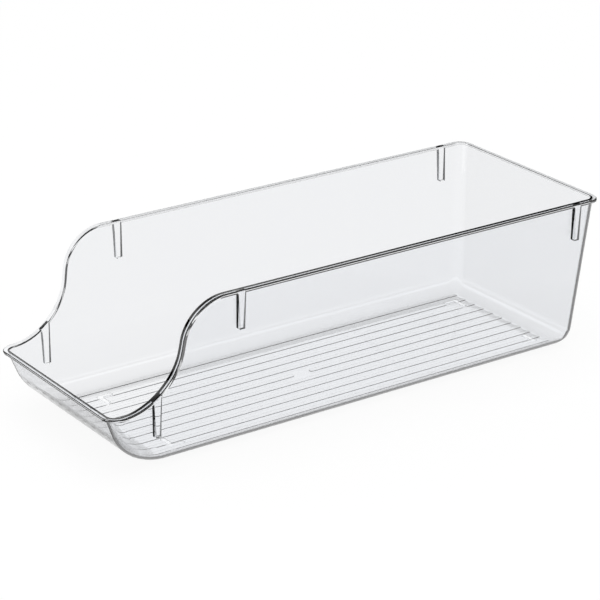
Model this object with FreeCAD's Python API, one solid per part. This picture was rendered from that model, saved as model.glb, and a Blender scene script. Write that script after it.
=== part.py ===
import FreeCAD, Part
import math
import os

os.makedirs("parts", exist_ok=True)
V = FreeCAD.Vector

# Overall sizes of the bin, all in millimetres.
# X runs across the bin, Y along it with the low front at -Y, Z up from the ground.
rim_length = 354.0
rim_width = 141.0
total_height = 101.0
front_height = 39.4
foot_height = 1.0
wall = 1.6

# The lip round the edge: how far it stands out from the walls, and how thick it is.
lip_side = 2.8
lip_end = 2.2
lip_thickness = 1.8
lip_nose_chamfer = 0.6

# How far the walls lean in between the rim and the ground.
side_inset = 7.8
back_inset = 8.6

# The low front: a wall leaning out, joined to the flat floor by one large round.
front_lean = math.radians(21.0)
scoop_radius = 37.0

# The S-shaped cut in each side: how far back its top starts, the round at its top and
# the hollow at its bottom as shares of the drop, and the lean of the straight between.
crest_from_front = 74.9
crest_share = 0.445
hollow_share = 0.6315
cut_lean = math.radians(9.2)

# Rounded edges of the body, measured on its outside.
back_corner_radius = 7.5
front_corner_radius = 6.6
floor_edge_radius = 11.5

# Ridges on the floor, spread evenly over its flat part. The middle one is broken by a gap.
ridge_count = 11
ridge_width = 3.6
ridge_height = 0.5
ridge_side_margin = 0.9
ridge_from_back = 21.0
ridge_climb = 21.5
middle_gap = 11.8
middle_gap_y = -2.5

# Upright ribs outside the long walls, placed from the two ends of the rim.
rib_from_back = 20.0
rib_middle_from_front = 86.3
rib_front_from_front = 32.0
rib_top_width = 5.4
rib_foot_width = 3.3
rib_drop = 24.0
rib_front_drop = 21.0
rib_front_rise = 3.6

# L-shaped feet under the floor, placed from the two ends and the floor's flat sides.
foot_from_back = 26.0
foot_from_front = 53.5
foot_side_margin = 5.9
foot_arm_across = 12.5
foot_arm_along = 10.0
foot_thickness = 3.0
foot_corner_bevel = 0.8

half_length = rim_length / 2
half_width = rim_width / 2
flat_half = half_width - lip_side - side_inset - floor_edge_radius
cut_drop = total_height - front_height
crest_radius = crest_share * cut_drop
hollow_radius = hollow_share * cut_drop
reach = 400.0
document = FreeCAD.newDocument("Bin")


def rounded(block, radii):
    """The block with every listed edge rounded by its own radius, all in one go."""
    plain = document.addObject("Part::Feature", "Plain")
    plain.Shape = block
    smooth = document.addObject("Part::Fillet", "Smooth")
    smooth.Base = plain
    table = []
    for number, edge in enumerate(block.Edges, 1):
        for listed, radius in radii:
            if edge.isSame(listed):
                table.append((number,) + radius)
    smooth.Edges = table
    document.recompute()
    return smooth.Shape.copy()


def body(grow_side, grow_end):
    """The solid inside the bin's outer surface, moved out by the given amounts."""
    floor_z = foot_height - grow_end
    top_z = total_height + 40
    back_lean = back_inset / (total_height - foot_height)
    back_shift = grow_end * math.hypot(1, back_lean)
    back_foot_y = half_length - lip_end - back_inset + back_shift
    back_top_y = back_foot_y + back_lean * (top_z - foot_height)
    front_foot_y = -half_length + lip_end + (front_height - foot_height) * math.tan(front_lean)
    scoop_y = front_foot_y + scoop_radius * math.tan(math.pi / 4 - front_lean / 2)
    scoop = V(0, scoop_y, foot_height + scoop_radius)
    radius = scoop_radius + grow_end
    half_turn = math.pi / 4 + front_lean / 2
    front_low = scoop + V(0, -math.cos(front_lean), -math.sin(front_lean)) * radius
    scoop_mid = scoop + V(0, -math.cos(half_turn), -math.sin(half_turn)) * radius
    front_top_y = front_low.y - (top_z - front_low.z) * math.tan(front_lean)
    corners = [
        V(0, scoop_y, floor_z),
        V(0, back_foot_y - back_lean * grow_end, floor_z),
        V(0, back_top_y, top_z),
        V(0, front_top_y, top_z),
        front_low,
    ]
    edges = Part.makePolygon(corners).Edges
    edges.append(Part.Arc(corners[-1], scoop_mid, corners[0]).toShape())
    side_face = Part.Face(Part.Wire(edges))
    slab = side_face.extrude(V(rim_width * 2, 0, 0))
    slab.translate(V(-rim_width, 0, 0))

    lean = side_inset / (total_height - foot_height)
    shift = grow_side * math.hypot(1, lean)
    foot_half = half_width - lip_side - side_inset + shift
    low = -60.0
    high = total_height + 60.0
    low_half = foot_half + lean * (low - foot_height)
    high_half = foot_half + lean * (high - foot_height)
    section = [V(-low_half, 0, low), V(low_half, 0, low), V(high_half, 0, high), V(-high_half, 0, high)]
    wedge = Part.Face(Part.makePolygon(section + section[:1])).extrude(V(0, reach * 2, 0))
    wedge.translate(V(0, -reach, 0))
    block = slab.common(wedge)

    front_r = front_corner_radius + grow_side
    floor_r = floor_edge_radius + grow_end
    back_r = back_corner_radius + grow_end
    radii = []
    for edge in block.Edges:
        box = edge.BoundBox
        if box.ZMin > top_z - 1 or box.YMax < scoop_y + 1 and box.XLength > rim_width / 2:
            continue
        if box.YMin > 0 and box.XLength < rim_width / 2:
            radii.append((edge, (back_r, back_r)))
        elif box.YMax < scoop_y + 1 and box.ZMin > front_low.z - 1:
            radii.append((edge, (front_r, front_r)))
        elif box.YMax < scoop_y + 1:
            ends = (front_r, floor_r) if edge.firstVertex(True).Z > scoop.z / 2 else (floor_r, front_r)
            radii.append((edge, ends))
        elif box.YMin < scoop_y + 1 and box.XLength > rim_width / 2:
            continue
        else:
            radii.append((edge, (floor_r, floor_r)))
    return rounded(block, radii)


def below_edge(drop):
    """Everything under the bin's top edge, with that edge lowered square to itself."""
    crest = V(0, crest_from_front - half_length, total_height - crest_radius)
    down = V(0, -math.sin(cut_lean), -math.cos(cut_lean))
    crest_end = crest + V(0, -math.cos(cut_lean), math.sin(cut_lean)) * crest_radius
    hollow_start_z = front_height + hollow_radius * (1 - math.sin(cut_lean))
    hollow_start = crest_end + down * ((crest_end.z - hollow_start_z) / math.cos(cut_lean))
    hollow = hollow_start + V(0, -math.cos(cut_lean), math.sin(cut_lean)) * hollow_radius

    crest_r = crest_radius - drop
    hollow_r = hollow_radius + drop
    top = total_height - drop
    low = front_height - drop
    turn = math.pi / 4 + cut_lean / 2
    crest_top = V(0, crest.y, top)
    crest_mid = crest + V(0, -math.cos(turn), math.sin(turn)) * crest_r
    crest_low = crest + V(0, -math.cos(cut_lean), math.sin(cut_lean)) * crest_r
    hollow_top = hollow + V(0, math.cos(cut_lean), -math.sin(cut_lean)) * hollow_r
    hollow_mid = hollow + V(0, math.cos(turn), -math.sin(turn)) * hollow_r
    hollow_low = V(0, hollow.y, low)
    below = [V(0, -reach, low), V(0, -reach, -reach), V(0, reach, -reach), V(0, reach, top)]
    edges = Part.makePolygon([hollow_low] + below + [crest_top]).Edges
    edges.append(Part.Arc(crest_top, crest_mid, crest_low).toShape())
    edges.append(Part.makeLine(crest_low, hollow_top))
    edges.append(Part.Arc(hollow_top, hollow_mid, hollow_low).toShape())
    face = Part.Face(Part.Wire(Part.__sortEdges__(edges)))
    slab = face.extrude(V(rim_width * 2, 0, 0))
    slab.translate(V(-rim_width, 0, 0))
    return slab


def save(name, shape):
    """Write one piece, a single solid, to its own file."""
    solids = shape.Solids
    assert len(solids) == 1, name + " has " + str(len(solids)) + " solids"
    assert solids[0].isValid(), name + " is not valid"
    solids[0].exportStep("parts/" + name + ".step")
    print(name, round(solids[0].Volume, 1), "mm3")


outer = body(0.0, 0.0)
cavity = body(-wall, -wall)
under_edge = below_edge(0.0)
under_lip = below_edge(lip_thickness)

# The thin-walled body: floor, side walls, back wall and the low front with its round.
shell = outer.common(under_edge).cut(cavity).Solids[0]
save("bin_shell", shell)

# The lip that runs outside the whole top edge, with a bevelled nose.
lip = body(lip_side, lip_end).common(under_edge).cut(under_lip).cut(outer).Solids[0]
nose_edges = []
for edge in lip.Edges:
    points = edge.discretize(5)
    gap = min(shell.distToShape(Part.Vertex(point))[0] for point in points)
    if gap > lip_end * 0.9 and edge.Length > lip_thickness * 1.2:
        nose_edges.append(edge)
save("rim_flange", lip.makeChamfer(lip_nose_chamfer, nose_edges))

# The ridges follow the floor and climb the slope, each with a round back end.
ridge_skin = cavity.cut(body(-wall - ridge_height, -wall - ridge_height))
ridge_pitch = 2 * (flat_half - ridge_side_margin) / (ridge_count - 1)
ridge_top_z = foot_height + ridge_climb
ridge_back_y = half_length - ridge_from_back
gap_front_y = middle_gap_y - middle_gap / 2
gap_back_y = middle_gap_y + middle_gap / 2


def ridge(x, front_y, back_y, round_front):
    """One ridge along Y, as wide as the others, lying on the inside of the floor."""
    radius = ridge_width / 2
    start = front_y + (radius if round_front else 0.0)
    end = back_y - radius
    plan = Part.makeBox(ridge_width, end - start, ridge_top_z, V(x - radius, start, 0))
    plan = plan.fuse(Part.makeCylinder(radius, ridge_top_z, V(x, end, 0)))
    if round_front:
        plan = plan.fuse(Part.makeCylinder(radius, ridge_top_z, V(x, start, 0)))
    return plan.removeSplitter().common(ridge_skin)


for index in range(ridge_count):
    x = (index - (ridge_count - 1) / 2) * ridge_pitch
    name = "floor_ridge_%02d" % (index + 1)
    if index == ridge_count // 2:
        save(name + "_front", ridge(x, -half_length, gap_front_y, False))
        save(name + "_back", ridge(x, gap_back_y, ridge_back_y, True))
    else:
        save(name, ridge(x, -half_length, ridge_back_y, False))


def nesting_rib(side, y, foot_z, lip_z):
    """One upright rib outside a long wall, its face flush with the lip it ends under."""
    face_x = half_width - side_inset * (total_height - lip_z) / (total_height - foot_height)
    taper = (rib_top_width - rib_foot_width) / 2 / rib_drop
    top_z = total_height
    foot = rib_foot_width / 2
    head = foot + taper * (top_z - foot_z)
    face = Part.Face(Part.makePolygon([
        V(0, y - foot, foot_z),
        V(0, y + foot, foot_z),
        V(0, y + head, top_z),
        V(0, y - head, top_z),
        V(0, y - foot, foot_z),
    ]))
    block = face.extrude(V(face_x - 40, 0, 0))
    block.translate(V(40, 0, 0))
    if side < 0:
        block = block.mirror(V(0, 0, 0), V(1, 0, 0))
    return block.common(under_lip).cut(outer)


rib_foot_z = total_height - rib_drop
rib_back_y = half_length - rib_from_back
rib_middle_y = rib_middle_from_front - half_length
rib_front_y = rib_front_from_front - half_length
rib_front_lip_z = front_height + rib_front_rise
rib_front_foot_z = rib_front_lip_z - rib_front_drop
for side, side_name in ((-1, "left"), (1, "right")):
    name = "nesting_rib_" + side_name
    save(name + "_back", nesting_rib(side, rib_back_y, rib_foot_z, total_height))
    save(name + "_middle", nesting_rib(side, rib_middle_y, rib_foot_z, total_height))
    save(name + "_front", nesting_rib(side, rib_front_y, rib_front_foot_z, rib_front_lip_z))


def foot(side, end, corner_y):
    """An L under one corner of the floor, its corner pointing outward."""
    x = flat_half - foot_side_margin
    t = foot_thickness
    across = Part.makeBox(foot_arm_across, t, foot_height, V(x - foot_arm_across, -t, 0))
    along = Part.makeBox(t, foot_arm_along, foot_height, V(x - t, -foot_arm_along, 0))
    block = across.fuse(along).removeSplitter()
    uprights = [edge for edge in block.Edges if edge.BoundBox.ZLength > foot_height / 2]
    block = block.makeChamfer(foot_corner_bevel, uprights)
    if side < 0:
        block = block.mirror(V(0, 0, 0), V(1, 0, 0))
    if end < 0:
        block = block.mirror(V(0, 0, 0), V(0, 1, 0))
    block.translate(V(0, corner_y, 0))
    return block


for side, side_name in ((-1, "left"), (1, "right")):
    save("foot_front_" + side_name, foot(side, -1, foot_from_front - half_length))
    save("foot_back_" + side_name, foot(side, 1, half_length - foot_from_back))
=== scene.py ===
import math

import bmesh
import bpy
from mathutils import Matrix, Vector


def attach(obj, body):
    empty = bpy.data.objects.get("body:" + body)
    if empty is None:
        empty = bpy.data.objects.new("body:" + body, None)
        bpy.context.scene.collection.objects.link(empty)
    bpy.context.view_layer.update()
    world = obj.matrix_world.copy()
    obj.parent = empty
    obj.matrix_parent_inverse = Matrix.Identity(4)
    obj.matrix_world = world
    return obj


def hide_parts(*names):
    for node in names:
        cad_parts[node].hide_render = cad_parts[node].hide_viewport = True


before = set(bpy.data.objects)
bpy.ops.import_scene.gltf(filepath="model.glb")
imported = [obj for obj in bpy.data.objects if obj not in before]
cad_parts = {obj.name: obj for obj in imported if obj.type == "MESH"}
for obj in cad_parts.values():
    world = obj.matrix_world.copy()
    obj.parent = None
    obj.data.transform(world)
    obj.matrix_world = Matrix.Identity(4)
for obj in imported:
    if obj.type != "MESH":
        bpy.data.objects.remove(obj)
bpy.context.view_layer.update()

# ---------------------------------------------------------------------------------------
# The bin's body. The real one is a single thin shell of clear, stiff plastic, injected
# between a core and a cavity: both faces are polished, and every wall leans a little so
# that the shot comes off the core. The front is low and leans out over one large round.
# ---------------------------------------------------------------------------------------
MM = 0.001                      # every size is in millimetres, and every mesh in metres
FLOOR_UNDERSIDE = 1.0
RIM_HEIGHT = 101.0
FRONT_HEIGHT = 39.4
SIDE_FOOT_HALF = 59.9           # half the width across the long walls' feet
SIDE_LEAN = 0.078               # outward for each millimetre up
BACK_FOOT = 166.2
BACK_LEAN = 0.086
FRONT_FOOT = -160.06
FRONT_LEAN = math.radians(21.0)
FRONT_ROUND = 37.0
FRONT_ROUND_STEPS = 24
BACK_CORNER = 7.5
FRONT_CORNER = 6.6
FLOOR_ROUND = 11.5
CORNER_STEPS = 8
WALL = 1.6
BLOCK_TOP = 130.0               # above the rim, so that the top edge can be cut from it
FOOT_ZONE = 20.0                # what lies lower belongs to the block's foot


def add_box(name, low, high):
    """A new box between two corners, given in millimetres, with its place in its mesh."""
    bpy.ops.object.select_all(action="DESELECT")
    sizes = [abs(a - b) * MM for a, b in zip(low, high)]
    centre = [(a + b) / 2 * MM for a, b in zip(low, high)]
    bpy.ops.mesh.primitive_cube_add(size=1, location=centre, scale=sizes)
    bpy.ops.object.transform_apply(location=True, rotation=True, scale=True)
    piece = bpy.context.object
    piece.name = name
    return piece


def pick(piece, mode, chosen):
    """Selects the points, edges or faces that the test takes, and stays in edit mode."""
    bpy.context.view_layer.objects.active = piece
    bpy.ops.object.mode_set(mode="EDIT")
    bpy.context.tool_settings.mesh_select_mode = tuple(
        mode == kind for kind in ("VERT", "EDGE", "FACE"))
    bpy.ops.mesh.select_all(action="DESELECT")
    mesh = bmesh.from_edit_mesh(piece.data)
    for part in {"VERT": mesh.verts, "EDGE": mesh.edges, "FACE": mesh.faces}[mode]:
        if chosen(part):
            part.select_set(True)
    mesh.select_flush_mode()
    bmesh.update_edit_mesh(piece.data)


def done():
    bpy.ops.object.mode_set(mode="OBJECT")


def middle(edge):
    """The middle of an edge, in millimetres."""
    return (edge.verts[0].co + edge.verts[1].co) / 2 / MM


def round_edges(piece, chosen, reach, steps):
    """Rounds the chosen edges. The round reaches so far along the faces beside them."""
    pick(piece, "EDGE", chosen)
    bpy.ops.mesh.bevel(offset=reach * MM, segments=steps, affect="EDGES", clamp_overlap=False)


def extrude(piece, chosen, x, y, z):
    """Draws the chosen faces out by so many millimetres."""
    pick(piece, "FACE", chosen)
    bpy.ops.mesh.extrude_region_move(
        TRANSFORM_OT_translate={"value": (x * MM, y * MM, z * MM)})


def apply_modifier(piece, kind, **settings):
    bpy.ops.object.select_all(action="DESELECT")
    piece.select_set(True)
    bpy.context.view_layer.objects.active = piece
    modifier = piece.modifiers.new(kind.title(), kind)
    for name, value in settings.items():
        setattr(modifier, name, value)
    bpy.ops.object.modifier_apply(modifier=modifier.name)


def bin_block(name, out_side, out_end):
    """The bin as a solid block, its surface moved out by so much at the sides and ends."""
    floor = FLOOR_UNDERSIDE - out_end
    half = SIDE_FOOT_HALF + out_side * math.hypot(1, SIDE_LEAN)
    half_low = half + SIDE_LEAN * (floor - FLOOR_UNDERSIDE)
    half_top = half + SIDE_LEAN * (BLOCK_TOP - FLOOR_UNDERSIDE)
    back = BACK_FOOT + out_end * math.hypot(1, BACK_LEAN)
    back_low = back + BACK_LEAN * (floor - FLOOR_UNDERSIDE)
    back_top = back + BACK_LEAN * (BLOCK_TOP - FLOOR_UNDERSIDE)
    front = FRONT_FOOT - out_end / math.cos(FRONT_LEAN)
    front_low = front - math.tan(FRONT_LEAN) * (floor - FLOOR_UNDERSIDE)
    front_top = front - math.tan(FRONT_LEAN) * (BLOCK_TOP - FLOOR_UNDERSIDE)
    block = add_box(name, (-half_top, front_top, floor), (half_top, back_top, BLOCK_TOP))

    pick(block, "VERT", lambda v: v.co.z < FOOT_ZONE * MM)
    bpy.ops.transform.resize(value=(half_low / half_top, 1, 1), center_override=(0, 0, 0))
    pick(block, "VERT", lambda v: v.co.z < FOOT_ZONE * MM and v.co.y > 0)
    bpy.ops.transform.translate(value=(0, (back_low - back_top) * MM, 0))
    pick(block, "VERT", lambda v: v.co.z < FOOT_ZONE * MM and v.co.y < 0)
    bpy.ops.transform.translate(value=(0, (front_low - front_top) * MM, 0))
    round_edges(block,
                lambda e: middle(e).z < FOOT_ZONE and middle(e).y < 0 and abs(middle(e).x) < 1,
                (FRONT_ROUND + out_end) * math.tan(math.pi / 4 - FRONT_LEAN / 2),
                FRONT_ROUND_STEPS)
    done()

    # The upright corners and the edges round the floor get their rounds together. The
    # floor's round narrows on its way up the front.
    wide = FLOOR_ROUND + out_end
    narrow = FRONT_CORNER + out_side
    round_middle = floor + FRONT_ROUND + out_end
    mesh = block.data
    weights = mesh.attributes.new("bevel_weight_edge", "FLOAT", "EDGE")
    for edge in mesh.edges:
        a, b = (mesh.vertices[i].co / MM for i in edge.vertices)
        centre = (a + b) / 2
        across = a.x * b.x < 0
        if centre.z > BLOCK_TOP - 1 or (across and centre.y < 0):
            continue
        if centre.z < floor + 0.01:
            weights.data[edge.index].value = 1.0
        elif centre.y > 0:
            weights.data[edge.index].value = (BACK_CORNER + out_end) / wide
        else:
            drop = max((round_middle - centre.z) / (FRONT_ROUND + out_end),
                       math.sin(FRONT_LEAN))
            share = math.acos(min(1.0, drop)) / (math.pi / 2 - FRONT_LEAN)
            share = share * share * (3 - 2 * share)
            weights.data[edge.index].value = (wide + (narrow - wide) * share) / wide
    apply_modifier(block, "BEVEL", width=wide * MM, segments=CORNER_STEPS,
                   limit_method="WEIGHT", use_clamp_overlap=False, loop_slide=True)
    return block


def combine(piece, operation, tool):
    """Joins the tool to the piece, cuts it away, or keeps what both share."""
    apply_modifier(piece, "BOOLEAN", operation=operation, object=tool, solver="EXACT")
    bpy.data.objects.remove(tool)


body = bin_block("clear_bin", 0.0, 0.0)

# ---------------------------------------------------------------------------------------
# The rim. A lip stands out all the way round the top edge of the same shot. It stiffens
# the thin walls, is what fingers pull on, and follows the S-shaped cut down to the front.
# ---------------------------------------------------------------------------------------
CUT_TOP = -125.45               # where the slope of the cut would meet the rim's height
CUT_LEAN = math.radians(9.2)
CREST_ROUND = 27.4
HOLLOW_ROUND = 38.9
CUT_ROUND_STEPS = 28
CUT_FRONT = -150.0              # both bends of the cut start between these two
CUT_BACK = -100.0
CUTTER_HALF = 90.0
CUTTER_FRONT = -260.0
CUTTER_RISE = 60.0
CUTTER_LENGTH = 400.0
LIP_SIDE = 2.8
LIP_END = 2.2
LIP_THICKNESS = 1.8
LIP_CREASE = math.radians(40)   # an edge sharper than this is one of the lip's own
SLOPE_FRONT = -152.0            # the lip runs down the cut between these two
SLOPE_BACK = -102.0
SLOPE_TURN = 1.5                # how far a face's turn to the front counts as up there
LIP_SOFTNESS = (("outer top", 1.2, 5), ("outer foot", 0.1, 2), ("inner top", 0.3, 2))


def edge_cutter(name, drop):
    """All that lies above the top edge, with that edge lowered square to itself."""
    top, low = RIM_HEIGHT - drop, FRONT_HEIGHT - drop
    cut_top = CUT_TOP + drop / math.cos(CUT_LEAN) - drop * math.tan(CUT_LEAN)
    cut_low = cut_top - (top - low) * math.tan(CUT_LEAN)
    cutter = add_box(name, (-CUTTER_HALF, CUTTER_FRONT, low), (CUTTER_HALF, cut_top, top))
    pick(cutter, "VERT", lambda v: v.co.y > cut_top * MM / 2 + CUTTER_FRONT * MM / 2
         and v.co.z < (low + top) * MM / 2)
    bpy.ops.transform.translate(value=(0, (cut_low - cut_top) * MM, 0))
    extrude(cutter, lambda f: f.normal.z > 0.9, 0, 0, CUTTER_RISE)
    extrude(cutter,
            lambda f: f.normal.y > 0.9 and f.calc_center_median().z > RIM_HEIGHT * MM,
            0, CUTTER_LENGTH, 0)
    reach = math.tan(math.pi / 4 - CUT_LEAN / 2)
    for height, radius in ((low, HOLLOW_ROUND + drop), (top, CREST_ROUND - drop)):
        round_edges(cutter,
                    lambda e: CUT_FRONT < middle(e).y < CUT_BACK and abs(middle(e).x) < 1
                    and abs(middle(e).z - height) < 0.5,
                    radius * reach, CUT_ROUND_STEPS)
    done()
    return cutter


rim = bin_block("rim", LIP_SIDE, LIP_END)
combine(rim, "INTERSECT", edge_cutter("lip_underside", LIP_THICKNESS))
combine(body, "UNION", rim)
combine(body, "DIFFERENCE", edge_cutter("top_edge", 0.0))
combine(body, "DIFFERENCE", bin_block("core", -WALL, -WALL))


def lip_edge(edge):
    """Which of the lip's edges this is: outer top, outer foot or inner top."""
    if not (edge.is_manifold and edge.is_convex and edge.calc_face_angle() > LIP_CREASE):
        return None
    place = middle(edge)
    facing = edge.link_faces[0].normal + edge.link_faces[1].normal
    outward = math.copysign(1, place.x) * facing.x
    upward = facing.z
    if SLOPE_FRONT < place.y < SLOPE_BACK and FRONT_HEIGHT + 0.5 < place.z < RIM_HEIGHT - 1:
        upward -= SLOPE_TURN * facing.y
    else:
        outward += math.copysign(1, place.y) * facing.y
    if outward < 0:
        return "inner top"
    return "outer top" if upward > 0 else "outer foot"


for kind, softness, steps in LIP_SOFTNESS:
    round_edges(body, lambda e: lip_edge(e) == kind, softness, steps)
    done()

# ---------------------------------------------------------------------------------------
# Eleven low ridges on the floor keep food out of drips. They are cut into the core, so
# they are part of the shot: they run forward, climb the front round, and end round at the
# back. The middle one has a plain gap where the plastic was let in.
# ---------------------------------------------------------------------------------------
RIDGE_COUNT = 11
RIDGE_PITCH = 9.5
RIDGE_WIDTH = 3.6
RIDGE_HEIGHT = 0.36
RIDGE_BACK = 156.0
RIDGE_CLIMB = math.radians(61)
RIDGE_CLIMB_STEPS = 22
RIDGE_END_STEPS = 6
RIDGE_SHOULDER = 0.12
GAP_FRONT = -8.4
GAP_BACK = 3.4
SUNK = 0.4                      # how deep a detail's root lies in the floor
FLOOR_TOP = FLOOR_UNDERSIDE + WALL
ROUND_MIDDLE_Y = FRONT_FOOT + FRONT_ROUND * math.tan(math.pi / 4 - FRONT_LEAN / 2)
ROUND_MIDDLE_Z = FLOOR_UNDERSIDE + FRONT_ROUND


def ridge(number, front, back, climbs):
    """One ridge. Where it climbs the front round, its front end stays square."""
    x = (number - (RIDGE_COUNT + 1) / 2) * RIDGE_PITCH
    half = RIDGE_WIDTH / 2
    bar = add_box("ridge_%02d" % number, (x - half, front, FLOOR_TOP - SUNK),
                  (x + half, back, FLOOR_TOP + RIDGE_HEIGHT))
    round_edges(bar, lambda e: abs(e.verts[0].co.z - e.verts[1].co.z) > 0.5 * MM
                and (not climbs or middle(e).y > back - 1),
                half - 0.01, RIDGE_END_STEPS)
    round_edges(bar, lambda e: min(v.co.z for v in e.verts) > FLOOR_TOP * MM
                and (not climbs or middle(e).y > front + 0.1),
                RIDGE_SHOULDER, 3)
    if climbs:
        pick(bar, "FACE", lambda f: f.normal.y < -0.9)
        bpy.ops.mesh.spin(steps=RIDGE_CLIMB_STEPS, angle=RIDGE_CLIMB, axis=(1, 0, 0),
                          center=(0, ROUND_MIDDLE_Y * MM, ROUND_MIDDLE_Z * MM))
    done()
    return bar


details = []
for number in range(1, RIDGE_COUNT + 1):
    if number == (RIDGE_COUNT + 1) // 2:
        details.append(ridge(number, ROUND_MIDDLE_Y, GAP_FRONT, True))
        details.append(ridge(number, GAP_BACK, RIDGE_BACK, False))
    else:
        details.append(ridge(number, ROUND_MIDDLE_Y, RIDGE_BACK, True))

# ---------------------------------------------------------------------------------------
# Six upright ribs outside the long walls, under the lip, of the same shot. When bins are
# nested for the shop or the cupboard, the lip below stops on their feet, so that the
# bins don't wedge.
# ---------------------------------------------------------------------------------------
RIB_TOP_WIDTH = 5.4
RIB_FOOT_WIDTH = 3.3
RIB_DROP = 24.0
RIB_FRONT_LIP = 43.0            # the lip's height above a front rib
RIB_FRONT_DROP = 21.0
RIB_SET_BACK = 0.3              # its face lies this far inside the lip's foot
RIB_ROOT = 57.0                 # inside the wall, where the inner block cuts it off
RIB_SOFTNESS = 0.2
RIB_PLACES = (("front", -145.0), ("middle", -90.7), ("back", 157.0))


def nesting_rib(side, place, y):
    """A rib that narrows downward, drawn from the middle of the wall out to its face."""
    low_rim = place == "front"
    face_height = RIB_FRONT_LIP if low_rim else RIM_HEIGHT
    foot = face_height - (RIB_FRONT_DROP if low_rim else RIB_DROP)
    lip_foot = face_height - LIP_THICKNESS - FLOOR_UNDERSIDE
    face = SIDE_FOOT_HALF + LIP_SIDE + SIDE_LEAN * lip_foot - RIB_SET_BACK
    widening = (RIB_TOP_WIDTH - RIB_FOOT_WIDTH) * (RIM_HEIGHT - foot) / RIB_DROP
    head_half = (RIB_FOOT_WIDTH + widening) / 2
    rib = add_box("rib_%s_%d" % (place, side), (side * face, y - head_half, foot),
                  (side * RIB_ROOT, y + head_half, RIM_HEIGHT))
    pick(rib, "VERT", lambda v: v.co.z < (foot + 1) * MM)
    bpy.ops.transform.resize(value=(1, RIB_FOOT_WIDTH / 2 / head_half, 1),
                             center_override=(0, y * MM, 0))
    round_edges(rib, lambda e: abs(middle(e).x) > face - 1 and middle(e).z < RIM_HEIGHT - 1,
                RIB_SOFTNESS, 2)
    done()
    combine(rib, "DIFFERENCE", edge_cutter("lip_middle", LIP_THICKNESS / 2))
    combine(rib, "DIFFERENCE", bin_block("inner_half", -WALL / 2, -WALL / 2))
    return rib


for side in (-1, 1):
    for place, y in RIB_PLACES:
        details.append(nesting_rib(side, place, y))

# ---------------------------------------------------------------------------------------
# Four small feet under the floor, an L at each corner. They are part of the shot and
# lift the floor a millimetre, so that the bin slides on a glass shelf without scratching.
# ---------------------------------------------------------------------------------------
FOOT_CORNER_X = 42.5
FOOT_BACK_Y = 151.0
FOOT_FRONT_Y = -123.5
FOOT_ACROSS = 12.5
FOOT_ALONG = 10.0
FOOT_WIDTH = 3.0
FOOT_SOFTNESS = 0.3


def foot(name, side, end, corner_y):
    """An L: a square at the corner, drawn out across the bin and then along it."""
    corner = Vector((side * FOOT_CORNER_X, corner_y))
    inner = corner - Vector((side, end)) * FOOT_WIDTH
    bar = add_box(name, (inner.x, inner.y, 0), (corner.x, corner.y, FLOOR_UNDERSIDE + SUNK))
    extrude(bar, lambda f: f.normal.x * side < -0.9,
            -side * (FOOT_ACROSS - FOOT_WIDTH), 0, 0)
    extrude(bar, lambda f: f.normal.y * end < -0.9
            and abs(f.calc_center_median().x) > (abs(inner.x) + 0.1) * MM,
            0, -end * (FOOT_ALONG - FOOT_WIDTH), 0)
    round_edges(bar, lambda e: e.is_manifold and e.calc_face_angle() > 1
                and middle(e).z < FLOOR_UNDERSIDE,
                FOOT_SOFTNESS, 3)
    done()
    return bar


for side in (-1, 1):
    details.append(foot("foot_front_%d" % side, side, -1, FOOT_FRONT_Y))
    details.append(foot("foot_back_%d" % side, side, 1, FOOT_BACK_Y))

# ---------------------------------------------------------------------------------------
# All of that is one shot of clear polystyrene, with nothing glued on, so light runs
# through it without meeting a joint. Here the pieces are joined to one closed skin. The
# polished plastic is very slightly cloudy and uneven where the melt flowed.
# ---------------------------------------------------------------------------------------
SMOOTH_ANGLE = math.radians(32)
FLAT_FACE_WEIGHT = 60
POLYSTYRENE_INDEX = 1.59
CLOUDY_TINT = (0.955, 0.964, 0.982, 1)
CLEAR_TINT = (0.969, 0.976, 0.988, 1)
FLOW_SCALE = 9
FLOW_DETAIL = 2
WAVE_STRENGTH = 0.3
WAVE_DEPTH = 0.4 * MM

bpy.ops.object.select_all(action="DESELECT")
for piece in details:
    piece.select_set(True)
bpy.context.view_layer.objects.active = details[0]
bpy.ops.object.join()
combine(body, "UNION", details[0])
bpy.ops.object.select_all(action="DESELECT")
body.select_set(True)
bpy.context.view_layer.objects.active = body
bpy.ops.object.shade_smooth_by_angle(angle=SMOOTH_ANGLE)
apply_modifier(body, "WEIGHTED_NORMAL", weight=FLAT_FACE_WEIGHT, keep_sharp=True)

clear = bpy.data.materials.new("clear_polystyrene")
clear.use_nodes = True
tree = clear.node_tree
skin = tree.nodes["Principled BSDF"]
skin.inputs["Roughness"].default_value = 0.0
skin.inputs["IOR"].default_value = POLYSTYRENE_INDEX
skin.inputs["Transmission Weight"].default_value = 1
place = tree.nodes.new("ShaderNodeTexCoord")
flow = tree.nodes.new("ShaderNodeTexNoise")
flow.inputs["Scale"].default_value = FLOW_SCALE
flow.inputs["Detail"].default_value = FLOW_DETAIL
tree.links.new(place.outputs["Object"], flow.inputs["Vector"])
tint = tree.nodes.new("ShaderNodeMix")
tint.data_type = "RGBA"
tint.inputs[6].default_value = CLOUDY_TINT
tint.inputs[7].default_value = CLEAR_TINT
tree.links.new(flow.outputs[0], tint.inputs[0])
tree.links.new(tint.outputs[2], skin.inputs["Base Color"])
wave = tree.nodes.new("ShaderNodeBump")
wave.inputs["Strength"].default_value = WAVE_STRENGTH
wave.inputs["Distance"].default_value = WAVE_DEPTH
tree.links.new(flow.outputs[0], wave.inputs["Height"])
tree.links.new(wave.outputs[0], skin.inputs["Normal"])
body.data.materials.clear()
body.data.materials.append(clear)
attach(body, "root")
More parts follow.
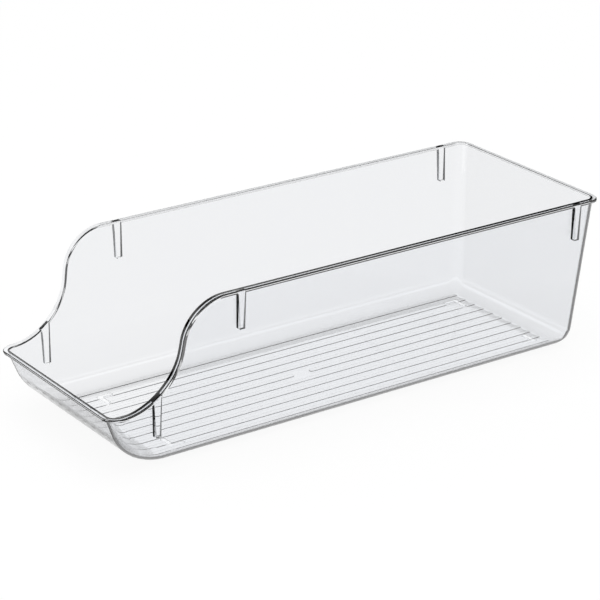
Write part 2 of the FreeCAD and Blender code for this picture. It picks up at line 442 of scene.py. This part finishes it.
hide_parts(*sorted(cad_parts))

# ---------------------------------------------------------------------------------------
# The camera stands to the right of the low front and above it, and looks down the bin
# from far off through a long lens, so that the long walls stay nearly parallel.
# ---------------------------------------------------------------------------------------
CAMERA_PLACE = (1.1383, -0.7909, 0.6133)
CAMERA_AZIMUTH = math.radians(55.309)
CAMERA_ELEVATION = math.radians(22.099)
CAMERA_ROLL = math.radians(-0.067)
CAMERA_LENS = 146.99
CAMERA_SENSOR = 36

camera_data = bpy.data.cameras.new("camera")
camera_data.sensor_width = CAMERA_SENSOR
camera_data.lens = CAMERA_LENS
camera_data.clip_start = 0.01
camera = bpy.data.objects.new("camera", camera_data)
bpy.context.scene.collection.objects.link(camera)
back = Vector((math.sin(CAMERA_AZIMUTH) * math.cos(CAMERA_ELEVATION),
               -math.cos(CAMERA_AZIMUTH) * math.cos(CAMERA_ELEVATION),
               math.sin(CAMERA_ELEVATION)))
right = Vector((math.cos(CAMERA_AZIMUTH), math.sin(CAMERA_AZIMUTH), 0))
up = back.cross(right)
turned_right = right * math.cos(CAMERA_ROLL) + up * math.sin(CAMERA_ROLL)
turned_up = up * math.cos(CAMERA_ROLL) - right * math.sin(CAMERA_ROLL)
camera.matrix_world = (Matrix.Translation(CAMERA_PLACE)
                       @ Matrix((turned_right, turned_up, back)).transposed().to_4x4())
bpy.context.scene.camera = camera
bpy.context.scene.view_settings.view_transform = "Standard"

# ---------------------------------------------------------------------------------------
# The floor is a plain white table top, lit evenly, with a thin matt coat that keeps the
# bin's soft shadow. Light that was turned round inside the plastic before it came out
# sees it dim, as it would see the room round the table.
# ---------------------------------------------------------------------------------------
FLOOR_SIZE = 6
FLOOR_GLOW = 0.93
FLOOR_COAT = (0.1, 0.1, 0.1, 1)
FLOOR_TURNED = 0.15


def choose(tree, share, first, second):
    """The first where the share is nought, and the second where it is one."""
    mix = tree.nodes.new("ShaderNodeMix")
    tree.links.new(share, mix.inputs[0])
    for socket, value in ((mix.inputs[2], first), (mix.inputs[3], second)):
        if isinstance(value, float):
            socket.default_value = value
        else:
            tree.links.new(value, socket)
    return mix.outputs[0]


def turned_round(tree, path):
    """One for light that was mirrored inside the plastic before it came out of it."""
    mirrored = tree.nodes.new("ShaderNodeMath")
    mirrored.operation = "GREATER_THAN"
    mirrored.inputs[1].default_value = 0.5
    tree.links.new(path.outputs["Glossy Depth"], mirrored.inputs[0])
    inside = tree.nodes.new("ShaderNodeMath")
    inside.operation = "MULTIPLY"
    tree.links.new(mirrored.outputs[0], inside.inputs[0])
    tree.links.new(path.outputs["Is Transmission Ray"], inside.inputs[1])
    return inside.outputs[0]


bpy.ops.object.select_all(action="DESELECT")
bpy.ops.mesh.primitive_plane_add(size=FLOOR_SIZE, location=(0, 0, 0))
floor = bpy.context.object
floor.name = "floor"

pale = bpy.data.materials.new("pale_floor")
pale.use_nodes = True
tree = pale.node_tree
tree.nodes.clear()
path = tree.nodes.new("ShaderNodeLightPath")
dimmed = choose(tree, turned_round(tree, path), 1.0, FLOOR_TURNED)
level = choose(tree, path.outputs["Is Camera Ray"], dimmed, 1.0)
coat = tree.nodes.new("ShaderNodeBsdfDiffuse")
coat.inputs["Color"].default_value = FLOOR_COAT
glow = tree.nodes.new("ShaderNodeEmission")
glow.inputs["Strength"].default_value = FLOOR_GLOW
lit = tree.nodes.new("ShaderNodeAddShader")
tree.links.new(coat.outputs[0], lit.inputs[0])
tree.links.new(glow.outputs[0], lit.inputs[1])
black = tree.nodes.new("ShaderNodeEmission")
black.inputs["Strength"].default_value = 0
seen = tree.nodes.new("ShaderNodeMixShader")
tree.links.new(level, seen.inputs[0])
tree.links.new(black.outputs[0], seen.inputs[1])
tree.links.new(lit.outputs[0], seen.inputs[2])
out = tree.nodes.new("ShaderNodeOutputMaterial")
tree.links.new(seen.outputs[0], out.inputs[0])
floor.data.materials.append(pale)

# ---------------------------------------------------------------------------------------
# The room is white to the eye. In the plastic it shows as a studio does: pale low walls,
# a dark band above them, a bright band over that and a dim ceiling. Its brightness goes
# by height alone, so no side of the bin is favoured.
# ---------------------------------------------------------------------------------------
DARK = 0.02
# Each pair is a height, as the upward share of the light's way, and the level there.
MIRRORED_LEVELS = ((0.14, 0.64), (0.22, DARK), (0.34, DARK),
                   (0.374, 1.0), (0.50, 1.0), (0.60, 0.3))
TURNED_LEVELS = ((0.14, 0.56), (0.22, DARK), (0.36, DARK),
                 (0.385, 1.0), (0.50, 1.0), (0.60, DARK))
STRAIGHT_LEVELS = ((0.14, 0.8), (0.22, DARK))
ROOM_LEVEL = 0.48               # what lights the floor's matt coat


def stepped(tree, height, stops):
    """A smooth run of brightness over the height, from stop to stop."""
    ramp = tree.nodes.new("ShaderNodeValToRGB")
    ramp.color_ramp.interpolation = "EASE"
    while len(ramp.color_ramp.elements) < len(stops):
        ramp.color_ramp.elements.new(0.5)
    for element, (place, level) in zip(ramp.color_ramp.elements, stops):
        element.position = place
        element.color = (level, level, level, 1)
    tree.links.new(height, ramp.inputs["Fac"])
    return ramp.outputs["Color"]


world = bpy.data.worlds.new("studio")
bpy.context.scene.world = world
world.use_nodes = True
tree = world.node_tree
tree.nodes.clear()
path = tree.nodes.new("ShaderNodeLightPath")
way = tree.nodes.new("ShaderNodeTexCoord")
parts = tree.nodes.new("ShaderNodeSeparateXYZ")
tree.links.new(way.outputs["Generated"], parts.inputs[0])
mirrored = stepped(tree, parts.outputs["Z"], MIRRORED_LEVELS)
turned = stepped(tree, parts.outputs["Z"], TURNED_LEVELS)
straight = stepped(tree, parts.outputs["Z"], STRAIGHT_LEVELS)
through = choose(tree, turned_round(tree, path), straight, turned)
bands = choose(tree, path.outputs["Is Transmission Ray"], mirrored, through)
even = choose(tree, path.outputs["Is Diffuse Ray"], bands, ROOM_LEVEL)
level = choose(tree, path.outputs["Is Camera Ray"], even, 1.0)
room = tree.nodes.new("ShaderNodeBackground")
room.inputs["Color"].default_value = (1, 1, 1, 1)
tree.links.new(level, room.inputs["Strength"])
out = tree.nodes.new("ShaderNodeOutputWorld")
tree.links.new(room.outputs[0], out.inputs[0])

# ---------------------------------------------------------------------------------------
# One large soft lamp hangs over the table and gives the shadow its soft edge. It is
# hidden from the plastic, which would show it as a bright disc.
# ---------------------------------------------------------------------------------------
LAMP_PLACE = (0.3, -0.3, 2.5)
LAMP_SIZE = 2.5
LAMP_POWER = 22

lamp_data = bpy.data.lights.new("soft_lamp", "AREA")
lamp_data.shape = "DISK"
lamp_data.size = LAMP_SIZE
lamp_data.energy = LAMP_POWER
lamp = bpy.data.objects.new("soft_lamp", lamp_data)
bpy.context.scene.collection.objects.link(lamp)
lamp.location = LAMP_PLACE
lamp.visible_glossy = False
lamp.visible_transmission = False
